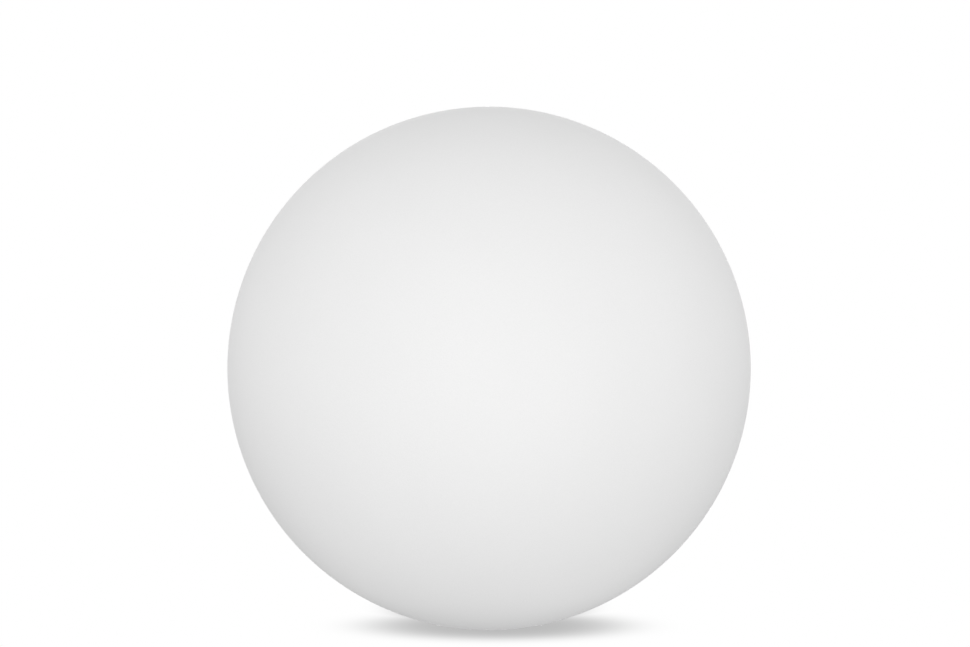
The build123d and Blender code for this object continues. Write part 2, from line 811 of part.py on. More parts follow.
with BuildPart() as switch:
    with BuildSketch(Plane.XY.offset(switch_bottom)):
        with Locations((button_x, 0)):
            RectangleRounded(switch_size, switch_size, switch_corner)
    extrude(amount=board_bottom - switch_bottom)
    with Locations((button_x, 0, switch_bottom)):
        Cylinder(plunger_radius + plunger_bore_gap, plunger_bore_depth, align=up_from, mode=Mode.SUBTRACT)
finish("push_switch", switch.part)

with BuildPart() as plunger:
    with Locations((button_x, 0, stem_top)):
        Cylinder(plunger_radius, plunger_length, align=up_from)
finish("switch_plunger", plunger.part)

# ---------------------------------------------------------------- control board

with BuildPart() as board:
    with BuildSketch(Plane.XY.offset(board_bottom)):
        Circle(board_radius)
        with Locations(*board_screw_places):
            Circle(m25_shank + clearance_gap, mode=Mode.SUBTRACT)
    extrude(amount=board_thickness)
finish("control_board", board.part)

board_screw = pan_screw(m25_shank, m25_head, m25_head_height, board_screw_length)
with BuildPart() as board_screws:
    with Locations(*[(x, y, board_top) for x, y in board_screw_places]):
        add(board_screw)
finish("board_screws", board_screws.part)

with BuildPart() as status_led:
    with Locations((0, status_y, board_bottom)):
        Box(status_led_size, status_led_size, status_led_height, align=down_from)
finish("status_led", status_led.part)

with BuildPart() as charge_chip:
    with Locations((*charge_chip_place, board_top)):
        Box(*charge_chip_size, align=up_from)
    with Locations((*driver_chip_place, board_top)):
        Box(*driver_chip_size, align=up_from)
finish("charge_and_driver_chips", charge_chip.part)

with BuildPart() as coil:
    with BuildSketch(Plane.XY.offset(board_top)):
        with Locations(coil_place):
            RectangleRounded(coil_size[0], coil_size[1], coil_corner)
    extrude(amount=coil_size[2])
finish("driver_coil", coil.part)

with BuildPart() as capacitors:
    with Locations(*[(x, y, board_top) for x, y in capacitor_places]):
        Box(*capacitor_size, align=up_from)
finish("capacitors", capacitors.part)

with BuildPart() as battery_connector:
    with Locations((0, battery_connector_y, board_top)):
        Box(*connector_size, align=up_from)
finish("battery_connector", battery_connector.part)

with BuildPart() as lead_connector:
    with Locations((0, lead_connector_y, board_top)):
        Box(*connector_size, align=up_from)
finish("lead_pair_connector", lead_connector.part)

# ---------------------------------------------------------------- battery

for number, angle in enumerate(cell_angles, start=1):
    with BuildPart() as cell:
        with Locations((*around(cell_circle, angle), cell_bottom)):
            Cylinder(cell_radius, cell_length - terminal_height, align=up_from)
        fillet(cell.edges().filter_by(GeomType.CIRCLE), cell_edge)
        with Locations((*around(cell_circle, angle), cell_bottom)):
            Cylinder(terminal_radius, cell_length, align=up_from)
    finish(f"battery_cell_{number}", cell.part)

lower_link = Pos(0, 0, cell_bottom - link_thickness) * cell_link(black_lead_angle)
upper_link = Pos(0, 0, cell_top) * cell_link(red_lead_angle)
finish("lower_cell_link", lower_link)
finish("upper_cell_link", upper_link)
lower_link_room = offset(lower_link.faces().sort_by(Axis.Z)[0], link_gap)
upper_link_room = offset(upper_link.faces().sort_by(Axis.Z)[0], link_gap)

with BuildPart() as lower_cradle:
    with BuildSketch(Plane.XY.offset(lower_cradle_bottom)):
        Circle(lower_cradle_radius)
    extrude(amount=lower_cradle_height)
    with BuildSketch(Plane.XY.offset(cell_bottom)):
        with Locations(*[around(cell_circle, angle) for angle in cell_angles]):
            Circle(cell_radius + cell_gap)
    extrude(amount=lower_cradle_top - cell_bottom, mode=Mode.SUBTRACT)
    extrude(lower_link_room, amount=lower_cradle_height, dir=(0, 0, 1), mode=Mode.SUBTRACT)
    with BuildSketch(Plane.XY.offset(lower_cradle_bottom)):
        with Locations(around(lead_circle, red_lead_angle), around(lead_circle, black_lead_angle)):
            Circle(lead_hole)
        with Locations((0, pair_y)):
            Circle(pair_hole)
        with PolarLocations(cradle_screw_circle, cradle_screw_count, start_angle=cradle_screw_turn):
            Circle(m25_shank + clearance_gap)
    extrude(amount=lower_cradle_height, mode=Mode.SUBTRACT)
    # the screws' heads sit in deep counterbores, so that the screws stay short
    with BuildSketch(Plane.XY.offset(lower_cradle_bottom)):
        with PolarLocations(cradle_screw_circle, cradle_screw_count, start_angle=cradle_screw_turn):
            Circle(m25_head + clearance_gap)
    extrude(amount=lower_cradle_height / 2, mode=Mode.SUBTRACT)
finish("lower_cradle", lower_cradle.part)

cradle_screw = Rot(180, 0, 0) * pan_screw(m25_shank, m25_head, m25_head_height, cradle_screw_length)
with BuildPart() as cradle_screws:
    with Locations(Plane.XY.offset(lower_cradle_bottom + lower_cradle_height / 2)):
        with PolarLocations(cradle_screw_circle, cradle_screw_count, start_angle=cradle_screw_turn):
            add(cradle_screw)
finish("cradle_screws", cradle_screws.part)

with BuildPart() as upper_cradle:
    with BuildSketch(Plane.XY.offset(upper_cradle_bottom)):
        Circle(upper_cradle_radius)
    extrude(amount=upper_cradle_height)
    with BuildSketch(Plane.XY.offset(upper_cradle_bottom)):
        with Locations(*[around(cell_circle, angle) for angle in cell_angles]):
            Circle(cell_radius + cell_gap)
        with Locations(around(lead_circle, red_lead_angle)):
            Circle(lead_hole)
    extrude(amount=upper_cradle_socket, mode=Mode.SUBTRACT)
    extrude(upper_link_room, amount=link_thickness + link_gap, dir=(0, 0, 1), mode=Mode.SUBTRACT)
    with BuildSketch(Plane.XY.offset(upper_cradle_bottom)):
        with Locations((0, pair_y)):
            Circle(pair_hole)
    extrude(amount=upper_cradle_height, mode=Mode.SUBTRACT)
finish("upper_cradle", upper_cradle.part)

with BuildPart() as pad:
    with BuildSketch(Plane.XY.offset(upper_cradle_top)):
        Circle(pad_radius)
        with Locations((0, pair_y)):
            Circle(grommet_flange + clearance_gap, mode=Mode.SUBTRACT)
    extrude(amount=pad_thickness)
finish("battery_pad", pad.part)

# ---------------------------------------------------------------- leads

red_x, red_y = around(lead_circle, red_lead_angle)
black_x, black_y = around(lead_circle, black_lead_angle)
connector_side = connector_size[0] / 2
finish(
    "battery_lead_red",
    insulated_lead(
        [
            (red_x, red_y, cell_top),
            (red_x, red_y, lead_run_height),
            (connector_side + connector_lead_in, battery_connector_y, lead_run_height),
            (connector_side, battery_connector_y, lead_run_height),
        ],
        lead_bend,
    ),
)
finish(
    "battery_lead_black",
    insulated_lead(
        [
            (black_x, black_y, cell_bottom - link_thickness),
            (black_x, black_y, lead_run_height),
            (-connector_side - connector_lead_in, battery_connector_y, lead_run_height),
            (-connector_side, battery_connector_y, lead_run_height),
        ],
        lead_bend,
    ),
)
for colour, side in (("red", pair_half), ("black", -pair_half)):
    finish(
        f"light_lead_{colour}",
        insulated_lead(
            [
                (side, lead_connector_y - connector_size[1] / 2, lead_run_height),
                (side, pair_y, lead_run_height),
                (side, pair_y, lead_corner_height),
                (side, pair_end_y, lead_corner_height),
            ],
            lead_bend,
        ),
    )

with BuildPart() as grommet:
    with Locations((0, pair_y, deck_bottom)):
        Cylinder(grommet_radius, deck_thickness, align=up_from)
        Cylinder(grommet_flange, grommet_lip, align=down_from)
    with BuildSketch(Plane.XY.offset(deck_bottom - grommet_lip)):
        with Locations((pair_half, pair_y), (-pair_half, pair_y)):
            Circle(lead_radius + thread_gap)
    extrude(amount=deck_thickness + grommet_lip, mode=Mode.SUBTRACT)
finish("lead_grommet", grommet.part)

# ---------------------------------------------------------------- light engine

with BuildPart() as spreader:
    with BuildSketch(Plane.XY.offset(deck_top)):
        Circle(spreader_radius)
        with PolarLocations(led_screw_circle, led_screw_count, start_angle=led_screw_turn):
            Circle(m25_shank + clearance_gap, mode=Mode.SUBTRACT)
        with Locations((0, pair_y)):
            Circle(pair_hole, mode=Mode.SUBTRACT)
    extrude(amount=spreader_thickness)
finish("heat_spreader", spreader.part)

with BuildPart() as led_board:
    with BuildSketch(Plane.XY.offset(led_board_bottom)):
        Circle(led_board_radius)
        with PolarLocations(led_screw_circle, led_screw_count, start_angle=led_screw_turn):
            Circle(m25_shank + clearance_gap, mode=Mode.SUBTRACT)
        with Locations((0, pair_y)):
            Circle(pair_hole, mode=Mode.SUBTRACT)
    extrude(amount=led_board_thickness)
finish("led_board", led_board.part)

led_turn = 180 / led_count
with BuildPart() as leds:
    with BuildSketch(Plane.XY.offset(led_board_top)):
        with PolarLocations(led_circle, led_count, start_angle=led_turn):
            Rectangle(led_size, led_size)
    extrude(amount=led_height)
    with BuildSketch(Plane.XY.offset(led_board_top + led_height)):
        with PolarLocations(led_circle, led_count, start_angle=led_turn):
            Circle(phosphor_radius)
    extrude(amount=-phosphor_depth, mode=Mode.SUBTRACT)
finish("led_packages", leds.part)

with BuildPart() as phosphors:
    with BuildSketch(Plane.XY.offset(led_board_top + led_height - phosphor_depth)):
        with PolarLocations(led_circle, led_count, start_angle=led_turn):
            Circle(phosphor_radius)
    extrude(amount=phosphor_depth)
finish("led_phosphors", phosphors.part)

with BuildPart() as led_connector:
    with Locations((0, led_connector_y, led_board_top)):
        Box(*led_connector_size, align=up_from)
finish("led_connector", led_connector.part)

led_screw = pan_screw(m25_shank, m25_head, m25_head_height, led_screw_length)
with BuildPart() as led_screws:
    with Locations(Plane.XY.offset(led_board_top)):
        with PolarLocations(led_screw_circle, led_screw_count, start_angle=led_screw_turn):
            add(led_screw)
finish("led_board_screws", led_screws.part)

# ---------------------------------------------------------------- light cover

cover_radius = cover_bore + cover_wall
dome_centre = cover_side_top - sqrt(cover_dome_radius**2 - cover_radius**2)
dome_top = dome_centre + cover_dome_radius
inner_dome_radius = cover_dome_radius - cover_wall
inner_side_top = dome_centre + sqrt(inner_dome_radius**2 - cover_bore**2)

with BuildPart() as cover:
    with BuildSketch(Plane.XZ):
        with BuildLine():
            Polyline(
                (cover_bore, deck_top),
                (cover_rim_radius, deck_top),
                (cover_rim_radius, deck_top + cover_rim_height),
                (cover_radius, deck_top + cover_rim_height),
                (cover_radius, cover_side_top),
            )
            RadiusArc((cover_radius, cover_side_top), (0, dome_top), -cover_dome_radius)
            Line((0, dome_top), (0, dome_top - cover_wall))
            RadiusArc((0, dome_top - cover_wall), (cover_bore, inner_side_top), inner_dome_radius)
            Line((cover_bore, inner_side_top), (cover_bore, deck_top))
        make_face()
    revolve(axis=Axis.Z)
    with Locations(Plane.XY.offset(deck_top + cover_rim_height)):
        with PolarLocations(cover_screw_circle, cover_screw_count, start_angle=cover_screw_turn):
            Cylinder(m25_shank + clearance_gap, cover_rim_height, align=down_from, mode=Mode.SUBTRACT)
            Cone(
                m25_shank + thread_gap,
                m25_head + thread_gap,
                m25_head_height,
                align=down_from,
                mode=Mode.SUBTRACT,
            )
finish("light_cover", cover.part)

cover_screw = Rot(180, 0, 0) * countersunk_screw(m25_shank, m25_head, m25_head_height, cover_screw_length)
with BuildPart() as cover_screws:
    with Locations(Plane.XY.offset(deck_top + cover_rim_height)):
        with PolarLocations(cover_screw_circle, cover_screw_count, start_angle=cover_screw_turn):
            add(cover_screw)
finish("cover_screws", cover_screws.part)

# ---------------------------------------------------------------- write the pieces out

os.makedirs("parts", exist_ok=True)
for name, part in parts.items():
    export_step(part, f"parts/{name}.step")
print(len(parts), "pieces")
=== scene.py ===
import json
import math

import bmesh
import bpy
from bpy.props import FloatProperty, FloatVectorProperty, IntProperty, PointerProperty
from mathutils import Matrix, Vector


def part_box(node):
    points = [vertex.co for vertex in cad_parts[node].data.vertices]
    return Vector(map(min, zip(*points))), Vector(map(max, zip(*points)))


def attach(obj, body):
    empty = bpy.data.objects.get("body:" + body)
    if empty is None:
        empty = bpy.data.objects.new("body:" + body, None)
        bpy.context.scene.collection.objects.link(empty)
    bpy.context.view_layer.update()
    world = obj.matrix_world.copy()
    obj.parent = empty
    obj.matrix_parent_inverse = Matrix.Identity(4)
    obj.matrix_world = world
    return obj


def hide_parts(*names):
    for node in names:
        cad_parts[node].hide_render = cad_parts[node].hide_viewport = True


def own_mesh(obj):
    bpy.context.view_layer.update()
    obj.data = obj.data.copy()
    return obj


bl_info = {
    "name": "Garden Globe Light",
    "version": (1, 0, 0),
    "blender": (4, 5, 0),
    "location": "View3D > Sidebar > Globe Light",
    "description": "Moulds the globe, finishes every part of the light unit and sets up a soft studio",
    "category": "Object",
}

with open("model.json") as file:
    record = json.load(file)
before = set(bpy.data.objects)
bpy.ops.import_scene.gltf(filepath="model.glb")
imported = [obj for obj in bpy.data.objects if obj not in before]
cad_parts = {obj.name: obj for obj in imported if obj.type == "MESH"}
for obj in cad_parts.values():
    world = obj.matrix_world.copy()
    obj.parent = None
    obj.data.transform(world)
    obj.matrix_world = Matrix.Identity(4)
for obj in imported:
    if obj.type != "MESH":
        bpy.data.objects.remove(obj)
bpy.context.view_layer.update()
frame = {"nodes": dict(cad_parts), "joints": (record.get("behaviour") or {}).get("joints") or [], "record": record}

MM = 0.001
SENSOR_WIDTH = 36.0  # of the camera, in millimetres

# ---------------------------------------------------------------- sizes read from the frame

shell_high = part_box("globe_shell")[1]
inserts_low, inserts_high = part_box("neck_inserts")
RADIUS = shell_high.x
CENTRE_HEIGHT = shell_high.z - RADIUS
SEAT_HEIGHT = inserts_low.z
INSERT_TOP = inserts_high.z


# ---------------------------------------------------------------- what a user would change


def length(name, description, default, **limits):
    """A property that holds a length in metres."""
    return FloatProperty(
        name=name, description=description, default=default, min=0.0, precision=5, unit="LENGTH", **limits
    )


def colour(name, description, default):
    """A property that holds a linear colour."""
    return FloatVectorProperty(
        name=name, description=description, default=default, size=3, min=0.0, max=1.0, subtype="COLOR"
    )


def strength(name, description, default):
    """A property that holds the strength of a light, a shade or an edge."""
    return FloatProperty(name=name, description=description, default=default, min=0.0, precision=3)


class GlobeSizes(bpy.types.PropertyGroup):
    """Sizes of the moulded globe, its foot and its neck, and of the button's spring."""

    wall: length("Wall", "Thickness of the moulded wall", 3.0 * MM)
    foot_round: length("Foot round", "Radius between the globe and its standing ring", 20.0 * MM)
    foot_floor: length("Foot floor", "Thickness of the standing ring", 3.2 * MM)
    recess_radius: length("Recess radius", "Radius of the pocket that holds the cap", 46.3 * MM)
    recess_edge: length("Recess edge", "Rounding of the pocket's rim", 1.0 * MM)
    recess_wall: length("Recess wall", "Thickness of the pocket's side", 3.4 * MM)
    neck_radius: length("Neck radius", "Radius of the hole that the light unit passes", 38.6 * MM)
    neck_thickness: length("Neck thickness", "Thickness of the pocket's roof", 4.0 * MM)
    boss_radius: length("Boss radius", "Radius of the boss round each brass insert", 3.5 * MM)
    boss_height: length("Boss height", "Height of each boss above the neck", 5.5 * MM)
    insert_radius: length("Insert radius", "Radius of the hole for each brass insert", 2.3 * MM)
    insert_count: IntProperty(name="Inserts", description="Brass inserts round the neck", default=6, min=1)
    segments: IntProperty(name="Segments", description="Facets round the globe", default=288, min=48)
    spring_wire: length("Spring wire", "Half of the thickness of the button spring's wire", 0.3 * MM)
    spring_turns: FloatProperty(
        name="Spring turns", description="Turns of the button's spring", default=3.5, min=1.0
    )


class FinishColours(bpy.types.PropertyGroup):
    """Colours of the materials."""

    globe: colour("Globe", "Opal polyethylene of the globe", (0.82, 0.82, 0.82))
    white: colour("White plastic", "Moulded white parts of the light unit", (0.76, 0.76, 0.745))
    grey: colour("Grey plastic", "Button, charging door and breather", (0.2, 0.205, 0.21))
    black: colour("Black plastic", "Switch body and chips", (0.018, 0.018, 0.019))
    nylon: colour("Nylon", "Connectors and cell cradles", (0.66, 0.62, 0.5))
    cover: colour("Cover", "Opal cover over the light engine", (0.84, 0.84, 0.82))
    guide: colour("Light guide", "Clear rod of the status light", (0.93, 0.96, 0.96))
    rubber: colour("Rubber", "O-rings, gasket and grommet", (0.022, 0.022, 0.023))
    silicone: colour("Silicone", "Seals of the charging port", (0.2, 0.21, 0.22))
    foam: colour("Foam", "Pad between the cells and the deck", (0.09, 0.09, 0.095))
    brass: colour("Brass", "Moulded-in inserts", (0.74, 0.52, 0.22))
    steel: colour("Steel", "Screws, spring and hinge pin", (0.58, 0.575, 0.56))
    nickel: colour("Nickel", "Cell links and charging socket", (0.64, 0.6, 0.54))
    aluminium: colour("Aluminium", "Heat spreader", (0.74, 0.75, 0.76))
    board: colour("Circuit board", "Solder mask of the control board", (0.012, 0.13, 0.045))
    light_board: colour("Light board", "Solder mask of the light engine", (0.8, 0.8, 0.78))
    copper: colour("Copper", "Copper fields under the solder mask", (0.05, 0.3, 0.1))
    laminate: colour("Laminate", "Raw edge of the circuit boards", (0.46, 0.42, 0.2))
    sleeve: colour("Cell sleeve", "Shrink sleeve of the battery cells", (0.02, 0.1, 0.3))
    ferrite: colour("Ferrite", "Body of the driver coil", (0.045, 0.045, 0.05))
    ceramic: colour("Ceramic", "Body of the capacitors", (0.33, 0.2, 0.1))
    package: colour("Light package", "Moulded body of each light", (0.8, 0.79, 0.75))
    phosphor: colour("Phosphor", "Yellow disc of each light", (0.85, 0.56, 0.06))
    red: colour("Red lead", "Insulation of the positive leads", (0.5, 0.012, 0.01))
    dark: colour("Black lead", "Insulation of the negative leads", (0.014, 0.014, 0.015))


class StageSettings(bpy.types.PropertyGroup):
    """The camera, the lights and the floor."""

    lens: FloatProperty(name="Lens", description="Focal length", default=85.0, unit="CAMERA")
    elevation: FloatProperty(
        name="Elevation",
        description="How far the camera looks down",
        default=math.radians(10.0),
        subtype="ANGLE",
    )
    distance: length("Distance", "From the camera to the globe's centre", 1.7617)
    aim_up: length("Aim above", "How far above the globe's centre the camera aims", 0.0341)
    aim_left: length("Aim left", "How far left of the globe's centre the camera aims", 0.0031)
    key: strength("Key light", "Irradiance of the light in front of the globe, in W/m2", 0.97)
    back: strength("Back light", "Irradiance of the light behind the globe, in W/m2", 0.4)
    low: strength("Low light", "Irradiance of the light behind and below the globe, in W/m2", 0.12)
    sky_top: strength("Sky, top", "Brightness of the surroundings straight above", 0.53)
    sky_high: strength("Sky, high", "Brightness of the surroundings 30 degrees above level", 0.97)
    sky_level: strength("Sky, level", "Brightness of the surroundings all round", 1.02)
    sky_low: strength("Sky, low", "Brightness of the surroundings 30 degrees below level", 0.31)
    sky_bottom: strength("Sky, bottom", "Brightness of the surroundings straight below", 0.78)
    shade: strength("Front shade", "How dark the soft shade in front of the foot gets", 0.5)
    shade_across: length("Front shade, across", "Half of that shade's width", 98.0 * MM)
    shade_along: length("Front shade, along", "Half of that shade's depth", 37.5 * MM)
    shade_right: length("Front shade, right", "How far that shade lies to the right", 5.8 * MM)
    shade_front: length("Front shade, front", "How far that shade lies to the front", 40.8 * MM)
    shade_edge: strength("Front shade, edge", "How steeply that shade ends", 4.5)
    foot_shade: strength("Foot shade", "How dark the round shade under the foot gets", 0.45)
    foot_radius: length("Foot shade, radius", "Radius of the round shade", 76.0 * MM)
    foot_behind: length("Foot shade, behind", "How far the round shade lies to the back", 10.0 * MM)
    foot_edge: strength("Foot shade, edge", "How steeply the round shade ends", 6.0)
    floor_half: length("Floor", "Half of the floor's side", 4.0)
    floor_gap: length("Floor gap", "Keeps the floor's face out of the foot's own plane", 0.1 * MM)


# ---------------------------------------------------------------- shader helpers

MIX_FACTOR, MIX_FIRST, MIX_SECOND = 0, 6, 7  # input sockets of a Mix node that mixes colours
MIX_COLOUR = 2  # its output socket


class Signal:
    """One number in a shader. Arithmetic on it adds Math nodes."""

    def __init__(self, nodes, socket):
        self.nodes = nodes
        self.socket = socket

    def math(self, operation, *values):
        return self.nodes.add("ShaderNodeMath", {"operation": operation}, dict(enumerate(values)))

    def __add__(self, other):
        return self.math("ADD", self, other)

    def __radd__(self, other):
        return self.math("ADD", other, self)

    def __sub__(self, other):
        return self.math("SUBTRACT", self, other)

    def __rsub__(self, other):
        return self.math("SUBTRACT", other, self)

    def __mul__(self, other):
        return self.math("MULTIPLY", self, other)

    def __rmul__(self, other):
        return self.math("MULTIPLY", other, self)

    def __pow__(self, other):
        return self.math("POWER", self, other)

    def __neg__(self):
        return self.math("SUBTRACT", 0.0, self)

    def __abs__(self):
        return self.math("ABSOLUTE", self)

    def at_most(self, other):
        return self.math("MINIMUM", self, other)

    def exp(self):
        return self.math("EXPONENT", self)


class Nodes:
    """A node tree that is built from nothing."""

    def __init__(self, tree):
        self.tree = tree
        self.tree.nodes.clear()

    def add(self, kind, settings=None, inputs=None, output=0):
        """Adds any node: its settings first, then the values or the links of its sockets."""
        made = self.tree.nodes.new(kind)
        for name, value in (settings or {}).items():
            if name == "stops":
                self.set_stops(made.color_ramp, value)
            else:
                setattr(made, name, value)
        for name, value in (inputs or {}).items():
            if isinstance(value, Signal):
                self.tree.links.new(value.socket, made.inputs[name])
            else:
                made.inputs[name].default_value = value
        return Signal(self, made.outputs[output]) if made.outputs else None

    @staticmethod
    def set_stops(ramp, stops):
        """Gives a ramp its (position, grey) stops."""
        while len(ramp.elements) < len(stops):
            ramp.elements.new(0.5)  # anywhere: its place is set below
        for element, (position, grey) in zip(ramp.elements, stops):
            element.position = position
            element.color = (grey, grey, grey, 1.0)

    def mix(self, factor, first, second):
        """Goes from one colour to another as factor goes from 0 to 1."""
        settings = {"data_type": "RGBA", "clamp_factor": True}
        inputs = {MIX_FACTOR: factor, MIX_FIRST: self.rgba(first), MIX_SECOND: self.rgba(second)}
        return self.add("ShaderNodeMix", settings, inputs, output=MIX_COLOUR)

    @staticmethod
    def rgba(value):
        """A colour with its alpha, or a link as it is."""
        return value if isinstance(value, Signal) else (*value, 1.0)

    def scale(self, value, factor):
        """A colour or a vector made longer or shorter by a number."""
        value = value if isinstance(value, Signal) else tuple(value)
        return self.add("ShaderNodeVectorMath", {"operation": "SCALE"}, {0: value, "Scale": factor})

    def stretch(self, value, factors):
        """A vector with each of its parts scaled."""
        return self.add("ShaderNodeVectorMath", {"operation": "MULTIPLY"}, {0: value, 1: factors})

    def split(self, vector, axis):
        """One part of a vector."""
        return self.add("ShaderNodeSeparateXYZ", None, {0: vector}, output=axis)

    def ramp(self, value, start, end):
        """0 up to start, 1 from end on, smooth between them."""
        settings = {"interpolation_type": "SMOOTHSTEP"}
        return self.add("ShaderNodeMapRange", settings, {"Value": value, "From Min": start, "From Max": end})


class Finish(Nodes):
    """One material. Its textures lie in the piece's own metres, so a pattern has a real size."""

    def __init__(self, name):
        self.material = bpy.data.materials.new(name)
        self.material.use_nodes = True
        super().__init__(self.material.node_tree)
        self.place = self.add("ShaderNodeTexCoord", output="Object")
        self.facing = self.add("ShaderNodeTexCoord", output="Normal")

    def noise(self, size, detail=2.0, place=None):
        """Soft random patches of about that size, from 0 to 1."""
        inputs = {"Vector": place or self.place, "Scale": 1.0 / size, "Detail": detail}
        return self.add("ShaderNodeTexNoise", None, inputs)

    def cells(self, size, **settings):
        """How far a point is from the middle of a random cell of about that size, in cells.

        It is the nearest cell, unless the settings name another.
        """
        inputs = {"Vector": self.place, "Scale": 1.0 / size}
        return self.add("ShaderNodeTexVoronoi", settings, inputs)

    def looking(self, axis):
        """1 on faces that look along an axis, either way, and 0 on faces that look across it."""
        return self.ramp(abs(self.split(self.facing, axis)), 0.6, 0.8)

    def shaded(self, tint, amount, pattern):
        """A colour made a little lighter and darker, by plus or minus half of amount."""
        return self.scale(tint, 1.0 - 0.5 * amount + pattern * amount)

    def relief(self, height, depth, under=None):
        """A normal that shows a height from 0 to 1 as a relief of that many metres."""
        inputs = {"Strength": 1.0, "Distance": depth, "Height": height}
        if under:
            inputs["Normal"] = under
        return self.add("ShaderNodeBump", None, inputs)

    def surface(self, inputs):
        """Puts the finished surface on the material and returns the material."""
        shader = self.add("ShaderNodeBsdfPrincipled", None, inputs)
        self.add("ShaderNodeOutputMaterial", None, {"Surface": shader})
        return self.material


# ---------------------------------------------------------------- finishes: plastics


def opal_polyethylene(colours):
    """Rotationally moulded polyethylene: white and matt, with the mould's blasted grain, and a painted shade
    towards its foot.
    """
    skin = Finish("opal_polyethylene")
    clouds = skin.noise(60.0 * MM, 3.0)
    flow = skin.noise(9.0 * MM, 1.0)
    grain = skin.noise(0.9 * MM, 2.0)
    height = skin.split(skin.place, "Z")
    worn = (1.0 - skin.ramp(height, 0.1 * MM, 1.2 * MM)) * skin.noise(2.5 * MM, 4.0)
    # Painted shade: the globe is painted up to 8% darker from 45 mm above the floor down to its foot, in place of
    # the floor's contact shadow.
    painted_contact_shade = 1.0 - skin.ramp(height, 2.0 * MM, 45.0 * MM)
    white = skin.shaded(skin.shaded(colours.globe, 0.025, clouds), 0.06, grain)
    retinted = skin.scale(white, 1.0 - painted_contact_shade * 0.08)
    scuffed = skin.scale(colours.globe, 0.78)
    moulded = skin.relief(flow, 0.05 * MM)
    return skin.surface(
        {
            "Base Color": skin.mix(worn * 0.6, retinted, scuffed),
            "Roughness": 0.5 + grain * 0.12 + worn * 0.1,
            "Normal": skin.relief(grain, 0.07 * MM, moulded),
            "IOR": 1.5,
            "Specular IOR Level": 0.25,
        }
    )


def moulded_plastic(name, tint, grain_size, depth, roughness):
    """Injection-moulded plastic with a spark-eroded grain and a trace of handling."""
    skin = Finish(name)
    grain = skin.noise(grain_size, 3.0)
    handled = skin.noise(14.0 * MM, 4.0)
    return skin.surface(
        {
            "Base Color": skin.shaded(tint, 0.06, handled),
            "Roughness": roughness - 0.06 + grain * 0.08 + handled * 0.08,
            "Normal": skin.relief(grain, depth),
            "IOR": 1.52,
        }
    )


def white_plastic(colours):
    """The light unit's white parts."""
    return moulded_plastic("white_plastic", colours.white, 0.4 * MM, 0.04 * MM, 0.42)


def grey_plastic(colours):
    """The button, the charging port's door and the breather."""
    return moulded_plastic("grey_plastic", colours.grey, 0.35 * MM, 0.045 * MM, 0.45)


def black_plastic(colours):
    """The switch's body and the chips: finely blasted resin."""
    return moulded_plastic("black_plastic", colours.black, 0.12 * MM, 0.008 * MM, 0.5)


def natural_nylon(colours):
    """Undyed nylon, a little uneven where it has taken up moisture."""
    skin = Finish("natural_nylon")
    patches = skin.noise(9.0 * MM, 3.0)
    grain = skin.noise(0.5 * MM, 2.0)
    return skin.surface(
        {
            "Base Color": skin.shaded(colours.nylon, 0.12, patches),
            "Roughness": 0.38 + patches * 0.12,
            "Normal": skin.relief(grain, 0.008 * MM),
            "Subsurface Weight": 0.15,
            "Subsurface Radius": (1.0 * MM, 0.9 * MM, 0.7 * MM),
            "IOR": 1.53,
        }
    )


def opal_cover_plastic(colours):
    """The moulded opal cover: smoother than the globe and faintly milky."""
    skin = Finish("opal_cover_plastic")
    milk = skin.noise(12.0 * MM, 2.0)
    grain = skin.noise(0.6 * MM, 2.0)
    return skin.surface(
        {
            "Base Color": skin.shaded(colours.cover, 0.03, milk),
            "Roughness": 0.3 + grain * 0.1,
            "Normal": skin.relief(grain, 0.005 * MM),
            "Subsurface Weight": 0.3,
            "Subsurface Radius": (2.0 * MM, 2.0 * MM, 1.8 * MM),
            "IOR": 1.49,
        }
    )


def clear_plastic(colours):
    """The status light's polished rod."""
    skin = Finish("clear_plastic")
    flow = skin.noise(2.0 * MM, 2.0)
    return skin.surface(
        {
            "Base Color": skin.shaded(colours.guide, 0.04, flow),
            "Roughness": 0.05 + flow * 0.06,
            "Transmission Weight": 0.9,
            "IOR": 1.49,
        }
    )


# ---------------------------------------------------------------- finishes: seals and pads


def rubber(name, tint, bloom):
    """Moulded rubber with a dry, dusty bloom."""
    skin = Finish(name)
    dust = skin.noise(4.0 * MM, 5.0)
    grain = skin.noise(0.2 * MM, 2.0)
    retinted = tuple(part + bloom for part in tint)
    return skin.surface(
        {
            "Base Color": skin.mix(skin.ramp(dust, 0.45, 0.8), tint, retinted),
            "Roughness": 0.55 + dust * 0.2,
            "Normal": skin.relief(grain, 0.01 * MM),
            "IOR": 1.5,
        }
    )


def black_rubber(colours):
    """O-rings, the gasket and the grommet."""
    return rubber("black_rubber", colours.rubber, 0.03)


def grey_silicone(colours):
    """The charging port's seals."""
    return rubber("grey_silicone", colours.silicone, 0.08)


def grey_foam(colours):
    """Open-celled foam of the battery pad, with painted shade in the low places between its cells."""
    skin = Finish("grey_foam")
    pores = skin.cells(0.7 * MM)
    # Painted shade: depth is 1 where the relief is low, at the cells' edges, and darkens the foam there.
    depth = skin.ramp(pores, 0.1, 0.6)
    return skin.surface(
        {
            "Base Color": skin.mix(depth, skin.scale(colours.foam, 1.5), skin.scale(colours.foam, 0.5)),
            "Roughness": 0.85 + depth * 0.1,
            "Normal": skin.relief(1.0 - pores, 0.25 * MM),
        }
    )


# ---------------------------------------------------------------- finishes: metals


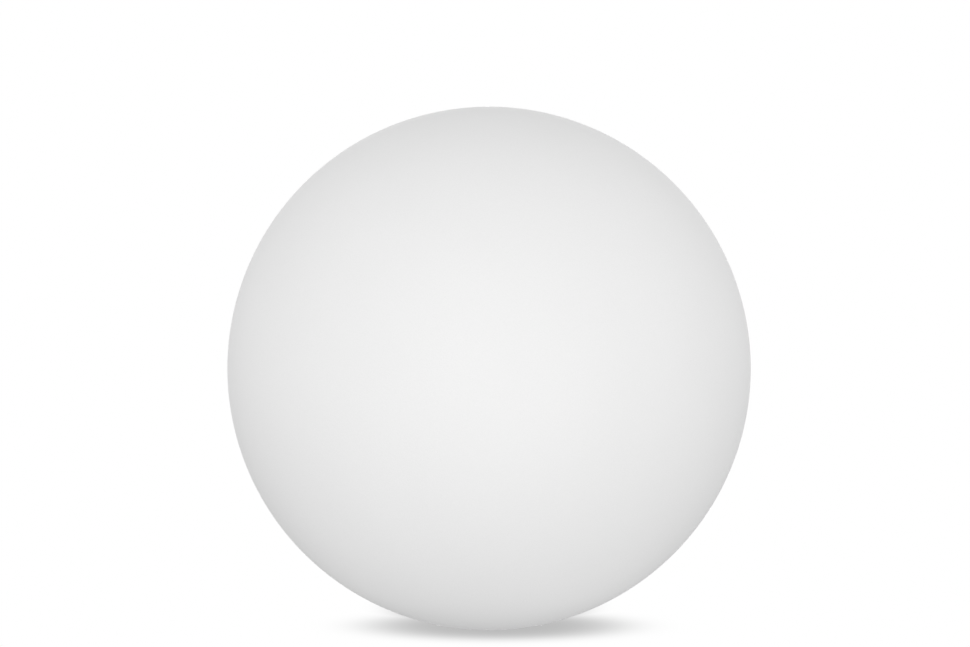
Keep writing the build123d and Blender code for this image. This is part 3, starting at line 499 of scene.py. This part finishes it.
def metal(name, tint, rings, depth, roughness, tarnish):
    """Bare metal with tool marks that run round the vertical axis, and a little tarnish."""
    skin = Finish(name)
    across = skin.stretch(skin.place, (0.04, 0.04, 1.0))
    marks = skin.noise(rings, 3.0, across)
    patches = skin.noise(3.0 * MM, 4.0)
    dull = skin.scale(tint, 1.0 - tarnish)
    return skin.surface(
        {
            "Base Color": skin.mix(skin.ramp(patches, 0.4, 0.75), tint, dull),
            "Metallic": 1.0,
            "Roughness": roughness + marks * 0.1 + patches * 0.1,
            "Normal": skin.relief(marks, depth),
        }
    )


def brass(colours):
    """Turned and knurled inserts."""
    return metal("brass", colours.brass, 0.3 * MM, 0.02 * MM, 0.25, 0.25)


def stainless_steel(colours):
    """Screws, spring and hinge pin."""
    return metal("stainless_steel", colours.steel, 0.15 * MM, 0.006 * MM, 0.2, 0.1)


def nickel(colours):
    """Plated links and the charging socket's shell."""
    return metal("nickel", colours.nickel, 0.2 * MM, 0.004 * MM, 0.18, 0.12)


def aluminium(colours):
    """The rolled plate that spreads the light engine's heat."""
    return metal("aluminium", colours.aluminium, 0.25 * MM, 0.006 * MM, 0.28, 0.08)


# ---------------------------------------------------------------- finishes: electronics


def circuit_board(name, colours, mask, copper, field, via_pitch):
    """Copper fields under solder mask, parted by narrow gaps, with small tinned vias and raw edges."""
    skin = Finish(name)
    flat = {"voronoi_dimensions": "2D", "distance": "CHEBYCHEV"}
    gap = skin.cells(field, feature="F2", **flat) - skin.cells(field, feature="F1", **flat)
    covered = skin.ramp(gap, 0.06, 0.1)
    via = 1.0 - skin.ramp(skin.cells(via_pitch, voronoi_dimensions="2D"), 0.05, 0.065)
    weave = skin.noise(0.5 * MM, 2.0)
    face = skin.looking("Z")
    printed = skin.mix(via, skin.mix(covered, mask, copper), colours.nickel)
    return skin.surface(
        {
            "Base Color": skin.mix(face, skin.shaded(colours.laminate, 0.3, weave), printed),
            "Metallic": via * face,
            "Roughness": 0.27 + weave * 0.1,
            "Normal": skin.relief(covered + weave * 0.2, 0.03 * MM),
            "IOR": 1.55,
        }
    )


def green_board(colours):
    """The control board."""
    return circuit_board("green_board", colours, colours.board, colours.copper, 4.5 * MM, 5.5 * MM)


def white_board(colours):
    """The light engine's white board, whose copper barely shows."""
    faint = tuple(0.9 * part for part in colours.light_board)
    return circuit_board("white_board", colours, faint, colours.light_board, 9.0 * MM, 9.0 * MM)


def cell_sleeve(colours):
    """A battery cell: shrink sleeve round its side, bare plated steel on its ends."""
    skin = Finish("cell_sleeve")
    end = skin.looking("Z")
    wrinkles = skin.noise(1.6 * MM, 3.0)
    sleeve = skin.shaded(colours.sleeve, 0.15, wrinkles)
    return skin.surface(
        {
            "Base Color": skin.mix(end, sleeve, tuple(colours.nickel)),
            "Metallic": end,
            "Roughness": 0.32 + wrinkles * 0.08,
            "Normal": skin.relief(wrinkles, 0.03 * MM),
        }
    )


def dark_ferrite(colours):
    """Pressed ferrite with a speckle of bright grains."""
    skin = Finish("dark_ferrite")
    grains = skin.cells(0.25 * MM)
    bright = 1.0 - skin.ramp(grains, 0.08, 0.2)
    return skin.surface(
        {
            "Base Color": skin.mix(bright * 0.5, colours.ferrite, skin.scale(colours.ferrite, 5.0)),
            "Roughness": 0.6 - bright * 0.2,
            "Normal": skin.relief(grains, 0.02 * MM),
        }
    )


def tan_ceramic(colours):
    """Chip capacitors: ceramic bodies with tinned ends."""
    skin = Finish("tan_ceramic")
    tinned = skin.looking("X")
    grain = skin.noise(0.15 * MM, 2.0)
    body = skin.shaded(colours.ceramic, 0.1, grain)
    return skin.surface(
        {
            "Base Color": skin.mix(tinned, body, tuple(colours.nickel)),
            "Metallic": tinned,
            "Roughness": 0.42 + grain * 0.1,
            "Normal": skin.relief(grain, 0.006 * MM),
        }
    )


def led_body(colours):
    """White moulded bodies of the lights."""
    return moulded_plastic("led_body", colours.package, 0.1 * MM, 0.004 * MM, 0.38)


def led_phosphor(colours):
    """Yellow phosphor in clear silicone."""
    skin = Finish("led_phosphor")
    powder = skin.noise(0.08 * MM, 2.0)
    return skin.surface(
        {
            "Base Color": skin.shaded(colours.phosphor, 0.2, powder),
            "Roughness": 0.2 + powder * 0.1,
            "Normal": skin.relief(powder, 0.006 * MM),
            "Coat Weight": 0.6,
        }
    )


def insulation(name, tint):
    """Extruded wire insulation, with faint drawing lines and a soft gloss."""
    skin = Finish(name)
    drawn = skin.noise(0.3 * MM, 3.0)
    return skin.surface(
        {
            "Base Color": skin.shaded(tint, 0.15, drawn),
            "Roughness": 0.36 + drawn * 0.1,
            "Normal": skin.relief(drawn, 0.01 * MM),
        }
    )


def red_insulation(colours):
    """Positive leads."""
    return insulation("red_insulation", colours.red)


def black_insulation(colours):
    """Negative leads."""
    return insulation("black_insulation", colours.dark)


# ---------------------------------------------------------------- mesh helpers

OUTSIDE_STEPS = 110  # straight pieces of the globe's outline, from its top to its foot
INSIDE_STEPS = 60  # the same on its inside
ROUNDING_STEPS = 8  # straight pieces of the foot's and the pocket's rounding
PEG_SIDES = 40  # facets round a boss or a hole
OVERLAP = 1.0 * MM  # how far a boss or a hole starts inside or outside the wall
SHARP_ANGLE = math.radians(30.0)  # edges that turn more than this stay sharp
WIRE_ROUNDING = 3  # how finely a wire is rounded
STEPS_PER_TURN = 48  # straight pieces in one turn of a spring
END_CLOSING = 0.6  # how much closer a spring is wound at its ends: 0 not at all, 1 flat
SAME_POINT = 0.001 * MM  # points nearer than this are one


def arc(centre, radius, start, end, steps):
    """Points (radius, height) round a centre, from one angle in degrees to another."""
    angles = [math.radians(start + (end - start) * step / steps) for step in range(steps + 1)]
    return [(centre[0] + radius * math.cos(a), centre[1] + radius * math.sin(a)) for a in angles]


def globe_profile(sizes):
    """The globe's wall in section: from its top, round the foot and the neck, to the top inside."""
    drop = CENTRE_HEIGHT - sizes.foot_round
    foot_centre = (math.sqrt((RADIUS - sizes.foot_round) ** 2 - drop**2), sizes.foot_round)
    turn = -math.degrees(math.atan2(drop, foot_centre[0]))
    inner = RADIUS - sizes.wall
    inner_turn = math.degrees(math.asin((sizes.foot_floor - CENTRE_HEIGHT) / inner))
    edge = sizes.recess_edge
    pocket = sizes.recess_radius + sizes.recess_wall
    neck_top = SEAT_HEIGHT + sizes.neck_thickness
    centre = (0.0, CENTRE_HEIGHT)
    return [
        *arc(centre, RADIUS, 90.0, turn, OUTSIDE_STEPS),
        *arc(foot_centre, sizes.foot_round, turn, -90.0, ROUNDING_STEPS)[1:],
        *arc((sizes.recess_radius + edge, edge), edge, -90.0, -180.0, ROUNDING_STEPS),
        (sizes.recess_radius, SEAT_HEIGHT),
        (sizes.neck_radius, SEAT_HEIGHT),
        (sizes.neck_radius, neck_top),
        (pocket, neck_top),
        (pocket, sizes.foot_floor),
        *arc(centre, inner, inner_turn, 90.0, INSIDE_STEPS),
    ]


def revolved(name, profile, segments):
    """A closed skin round the Z axis. Both ends of the profile lie on the axis."""
    skin = bmesh.new()
    rings = []
    for number, (radius, height) in enumerate(profile):
        at_pole = number in (0, len(profile) - 1)
        turns = [0.0] if at_pole else [math.tau * i / segments for i in range(segments)]
        radius = 0.0 if at_pole else radius
        rings.append([skin.verts.new((radius * math.cos(t), radius * math.sin(t), height)) for t in turns])
    for upper, lower in zip(rings, rings[1:]):
        for i in range(segments):
            pair = (i, (i + 1) % segments)
            above = [upper[n % len(upper)] for n in pair]
            below = [lower[n % len(lower)] for n in pair]
            skin.faces.new(list(dict.fromkeys((above[0], *below, above[1]))))
    bmesh.ops.recalc_face_normals(skin, faces=skin.faces)
    mesh = bpy.data.meshes.new(name)
    skin.to_mesh(mesh)
    skin.free()
    return linked(bpy.data.objects.new(name, mesh))


def linked(piece):
    """Puts an object into the scene."""
    bpy.context.scene.collection.objects.link(piece)
    return piece


def ring_of_pegs(name, count, circle, radius, bottom, top):
    """Round pegs that stand in a circle, as one mesh."""
    pegs = bmesh.new()
    for i in range(count):
        turn = math.tau * i / count
        place = Vector((circle * math.cos(turn), circle * math.sin(turn), (bottom + top) / 2.0))
        peg = bmesh.ops.create_cone(
            pegs, cap_ends=True, segments=PEG_SIDES, radius1=radius, radius2=radius, depth=top - bottom
        )
        bmesh.ops.translate(pegs, verts=peg["verts"], vec=place)
    mesh = bpy.data.meshes.new(name)
    pegs.to_mesh(mesh)
    pegs.free()
    return linked(bpy.data.objects.new(name, mesh))


def coil(name, low, high, wire, turns):
    """A spring of round wire that fills the box from low to high, closer wound at its ends."""
    line = bpy.data.curves.new(name, "CURVE")
    line.dimensions = "3D"
    line.bevel_depth = wire
    line.bevel_resolution = WIRE_ROUNDING
    line.use_fill_caps = True
    path = line.splines.new("POLY")
    steps = round(turns * STEPS_PER_TURN)
    path.points.add(steps)
    middle = (low + high) / 2.0
    radius = (high.x - low.x) / 2.0 - wire
    rise = high.z - low.z - 2.0 * wire
    for step, point in enumerate(path.points):
        share = step / steps
        turn = math.tau * turns * share
        climbed = share - END_CLOSING * math.sin(math.tau * share) / math.tau
        side = Vector((math.cos(turn), math.sin(turn), 0.0)) * radius
        point.co = (middle.x + side.x, middle.y + side.y, low.z + wire + rise * climbed, 1.0)
    drawn = bpy.data.objects.new(name, line)
    mesh = bpy.data.meshes.new_from_object(linked(drawn).evaluated_get(bpy.context.evaluated_depsgraph_get()))
    bpy.data.objects.remove(drawn)
    return linked(bpy.data.objects.new(name, mesh))


def combine(piece, tool, operation):
    """Joins a tool to a piece or cuts it away, removes the tool and merges points that coincide."""
    step = piece.modifiers.new(operation.lower(), "BOOLEAN")
    step.operation = operation
    step.solver = "EXACT"
    step.object = tool
    shape = piece.evaluated_get(bpy.context.evaluated_depsgraph_get())
    piece.data = bpy.data.meshes.new_from_object(shape)
    piece.modifiers.clear()
    bpy.data.objects.remove(tool)
    skin = bmesh.new()
    skin.from_mesh(piece.data)
    bmesh.ops.remove_doubles(skin, verts=skin.verts, dist=SAME_POINT)
    skin.to_mesh(piece.data)
    skin.free()


def smooth(piece):
    """Shades a mesh smooth, but for its real edges."""
    mesh = piece.data
    mesh.polygons.foreach_set("use_smooth", [True] * len(mesh.polygons))
    mesh.set_sharp_from_angle(angle=SHARP_ANGLE)


def dress(slot, material):
    """Gives a finish to every CAD node of a material slot."""
    names = [part["node"] for part in frame["record"]["subparts"] if part["material_slot"] == slot]
    if not names:
        raise RuntimeError(f"no node has the finish {slot}")
    for name in names:
        for holder in frame["nodes"][name].material_slots:
            holder.material = material


def dress_all(context, *finishes):
    """Makes some finishes and gives each to the slot that has its name."""
    for finish in finishes:
        dress(finish.__name__, finish(context.scene.globe_colours))


# ---------------------------------------------------------------- operators


class GLOBE_OT_mould(bpy.types.Operator):
    """Mould the globe with its foot, pocket, neck and insert bosses"""

    bl_idname = "globe_light.mould"
    bl_label = "Mould the Globe"

    def execute(self, context):
        sizes = context.scene.globe_sizes
        globe = revolved("moulded_globe", globe_profile(sizes), sizes.segments)
        count = sizes.insert_count
        circle = inserts_high.x - sizes.insert_radius
        neck_top = SEAT_HEIGHT + sizes.neck_thickness
        boss_top = neck_top + sizes.boss_height
        bosses = ring_of_pegs("bosses", count, circle, sizes.boss_radius, neck_top - OVERLAP, boss_top)
        combine(globe, bosses, "UNION")
        holes = ring_of_pegs("holes", count, circle, sizes.insert_radius, SEAT_HEIGHT - OVERLAP, INSERT_TOP)
        combine(globe, holes, "DIFFERENCE")
        smooth(globe)
        globe.data.materials.clear()
        globe.data.materials.append(opal_polyethylene(context.scene.globe_colours))
        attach(globe, "globe")
        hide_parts("globe_shell")
        return {"FINISHED"}


class GLOBE_OT_plastics(bpy.types.Operator):
    """Finish the white, grey, black, nylon, opal and clear plastic parts"""

    bl_idname = "globe_light.plastics"
    bl_label = "Finish the Plastics"

    def execute(self, context):
        dress_all(
            context, white_plastic, grey_plastic, black_plastic,
            natural_nylon, opal_cover_plastic, clear_plastic,
        )
        return {"FINISHED"}


class GLOBE_OT_seals(bpy.types.Operator):
    """Finish the rubber and silicone seals and the foam pad"""

    bl_idname = "globe_light.seals"
    bl_label = "Finish the Seals"

    def execute(self, context):
        dress_all(context, black_rubber, grey_silicone, grey_foam)
        return {"FINISHED"}


class GLOBE_OT_metals(bpy.types.Operator):
    """Finish the brass, steel, nickel and aluminium parts"""

    bl_idname = "globe_light.metals"
    bl_label = "Finish the Metals"

    def execute(self, context):
        dress_all(context, brass, stainless_steel, nickel, aluminium)
        return {"FINISHED"}


class GLOBE_OT_wind(bpy.types.Operator):
    """Wind the button's spring"""

    bl_idname = "globe_light.wind"
    bl_label = "Wind the Spring"

    def execute(self, context):
        sizes = context.scene.globe_sizes
        press = next(joint for joint in frame["joints"] if joint["name"] == "button_press")
        low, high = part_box("button_spring")
        spring = coil("wound_spring", low, high, sizes.spring_wire, sizes.spring_turns)
        smooth(spring)
        spring.data.materials.append(bpy.data.materials["stainless_steel"])
        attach(spring, "light_unit")
        keep = 1.0 - press["range_m"][1] / (high.z - low.z)
        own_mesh(spring)
        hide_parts("button_spring")
        return {"FINISHED"}


class GLOBE_OT_electronics(bpy.types.Operator):
    """Finish the boards, the cells, the lights and what the boards carry"""

    bl_idname = "globe_light.electronics"
    bl_label = "Finish the Electronics"

    def execute(self, context):
        dress_all(
            context, green_board, white_board, cell_sleeve, dark_ferrite,
            tan_ceramic, led_body, led_phosphor,
        )
        return {"FINISHED"}


class GLOBE_OT_leads(bpy.types.Operator):
    """Finish the inner leads"""

    bl_idname = "globe_light.leads"
    bl_label = "Finish the Leads"

    def execute(self, context):
        dress_all(context, red_insulation, black_insulation)
        return {"FINISHED"}


class GLOBE_OT_stage(bpy.types.Operator):
    """Set up the camera, the soft lights and the pale floor"""

    bl_idname = "globe_light.stage"
    bl_label = "Set Up the Stage"

    def execute(self, context):
        stage = context.scene.globe_stage
        context.scene.view_settings.view_transform = "Standard"
        place_camera(stage)
        soft_surroundings(stage)
        sun("key_light", stage.key, elevation=0.0, azimuth=0.0, spread=40.0)
        sun("back_light", stage.back, elevation=-8.0, azimuth=180.0, spread=30.0)
        sun("low_light", stage.low, elevation=-55.0, azimuth=150.0, spread=20.0)
        pale_floor(stage)
        return {"FINISHED"}


# ---------------------------------------------------------------- stage


def place_camera(stage):
    """A camera in front of the globe that looks a little down on it."""
    centre = Vector((0.0, 0.0, CENTRE_HEIGHT))
    back = Vector((0.0, -math.cos(stage.elevation), math.sin(stage.elevation)))
    up = Vector((0.0, math.sin(stage.elevation), math.cos(stage.elevation)))
    left = Vector((-1.0, 0.0, 0.0))
    lens = bpy.data.cameras.new("camera")
    lens.lens = stage.lens
    lens.sensor_width = SENSOR_WIDTH
    camera = linked(bpy.data.objects.new("camera", lens))
    camera.location = centre + back * stage.distance
    aim = centre + up * stage.aim_up + left * stage.aim_left
    camera.rotation_euler = (aim - camera.location).to_track_quat("-Z", "Y").to_euler()
    bpy.context.scene.camera = camera


def soft_surroundings(stage):
    """Soft light from all round, brightest at the globe's level. The camera sees a white backdrop."""
    world = bpy.data.worlds.new("soft_surroundings")
    bpy.context.scene.world = world
    world.use_nodes = True
    nodes = Nodes(world.node_tree)
    direction = nodes.add("ShaderNodeTexCoord", output="Generated")
    rise = nodes.split(direction, "Z") * 0.5 + 0.5
    bands = (stage.sky_bottom, stage.sky_low, stage.sky_level, stage.sky_high, stage.sky_top)
    stops = [(step / (len(bands) - 1), bright) for step, bright in enumerate(bands)]
    light = nodes.add("ShaderNodeValToRGB", {"stops": stops}, {"Fac": rise})
    around = nodes.add("ShaderNodeBackground", None, {"Color": light})
    backdrop = nodes.add("ShaderNodeBackground", None, {"Strength": 1.0, "Color": (1.0, 1.0, 1.0, 1.0)})
    seen = nodes.add("ShaderNodeLightPath", output="Is Camera Ray")
    shown = nodes.add("ShaderNodeMixShader", None, {0: seen, 1: around, 2: backdrop})
    nodes.add("ShaderNodeOutputWorld", None, {"Surface": shown})


def sun(name, irradiance, elevation, azimuth, spread):
    """A far soft light. Its azimuth runs from the front towards the right, all in degrees."""
    light = bpy.data.lights.new(name, "SUN")
    light.energy = irradiance
    light.angle = math.radians(spread)
    lamp = linked(bpy.data.objects.new(name, light))
    rise, turn = math.radians(elevation), math.radians(azimuth)
    source = Vector((math.cos(rise) * math.sin(turn), -math.cos(rise) * math.cos(turn), math.sin(rise)))
    lamp.rotation_euler = source.to_track_quat("Z", "Y").to_euler()


def soft_spot(nodes, middle, reach, edge):
    """1 in the middle of an ellipse on the floor and 0 well outside it. A large edge makes it crisp."""
    place = nodes.add("ShaderNodeTexCoord", output="Object")
    offset = nodes.add("ShaderNodeVectorMath", {"operation": "SUBTRACT"}, {0: place, 1: (*middle, 0.0)})
    reaches = nodes.stretch(offset, (1.0 / reach[0], 1.0 / reach[1], 0.0))
    away = nodes.add("ShaderNodeVectorMath", {"operation": "LENGTH"}, {0: reaches}, output="Value")
    return (-(away**edge)).exp()


def pale_floor(stage):
    """A white floor that lights nothing and can't be seen from below. Its soft shade is drawn."""
    half = stage.floor_half
    square = ((-half, -half), (half, -half), (half, half), (-half, half))
    corners = [(x, y, -stage.floor_gap) for x, y in square]
    mesh = bpy.data.meshes.new("floor")
    mesh.from_pydata(corners, [], [(0, 1, 2, 3)])
    floor = linked(bpy.data.objects.new("floor", mesh))
    material = bpy.data.materials.new("pale_floor")
    material.use_nodes = True
    nodes = Nodes(material.node_tree)
    front_middle = (stage.shade_right, -stage.shade_front)
    front_reach = (stage.shade_across, stage.shade_along)
    front = soft_spot(nodes, front_middle, front_reach, stage.shade_edge)
    foot_reach = (stage.foot_radius, stage.foot_radius)
    foot = soft_spot(nodes, (0.0, stage.foot_behind), foot_reach, stage.foot_edge)
    bright = (1.0 - stage.shade * front).at_most(1.0 - stage.foot_shade * foot)
    lit = nodes.add("ShaderNodeEmission", None, {"Strength": bright})
    below = nodes.add("ShaderNodeNewGeometry", output="Backfacing")
    clear = nodes.add("ShaderNodeBsdfTransparent")
    shown = nodes.add("ShaderNodeMixShader", None, {0: below, 1: lit, 2: clear})
    nodes.add("ShaderNodeOutputMaterial", None, {"Surface": shown})
    floor.data.materials.append(material)
    for ray in ("diffuse", "glossy", "transmission", "volume_scatter", "shadow"):
        setattr(floor, f"visible_{ray}", False)


# ---------------------------------------------------------------- panel and registration


class GLOBE_PT_panel(bpy.types.Panel):
    """Sizes, colours and steps of the globe light"""

    bl_idname = "GLOBE_PT_panel"
    bl_label = "Globe Light"
    bl_space_type = "VIEW_3D"
    bl_region_type = "UI"
    bl_category = "Globe Light"

    def draw(self, context):
        for settings in (context.scene.globe_sizes, context.scene.globe_colours, context.scene.globe_stage):
            box = self.layout.box()
            for name in settings.__annotations__:
                box.prop(settings, name)
        for operator in OPERATORS:
            self.layout.operator(operator.bl_idname)


OPERATORS = (
    GLOBE_OT_mould,
    GLOBE_OT_plastics,
    GLOBE_OT_seals,
    GLOBE_OT_metals,
    GLOBE_OT_wind,
    GLOBE_OT_electronics,
    GLOBE_OT_leads,
    GLOBE_OT_stage,
)
GROUPS = {"globe_sizes": GlobeSizes, "globe_colours": FinishColours, "globe_stage": StageSettings}


def register():
    for group in GROUPS.values():
        bpy.utils.register_class(group)
    for name, group in GROUPS.items():
        setattr(bpy.types.Scene, name, PointerProperty(type=group))
    for listed in (*OPERATORS, GLOBE_PT_panel):
        bpy.utils.register_class(listed)


def unregister():
    for listed in (GLOBE_PT_panel, *reversed(OPERATORS)):
        bpy.utils.unregister_class(listed)
    for name in GROUPS:
        delattr(bpy.types.Scene, name)
    for group in reversed(GROUPS.values()):
        bpy.utils.unregister_class(group)


def main():
    """Makes everything in order."""
    register()
    bpy.ops.globe_light.mould()
    bpy.ops.globe_light.plastics()
    bpy.ops.globe_light.seals()
    bpy.ops.globe_light.metals()
    bpy.ops.globe_light.wind()
    bpy.ops.globe_light.electronics()
    bpy.ops.globe_light.leads()
    bpy.ops.globe_light.stage()


if __name__ == "__main__":
    main()
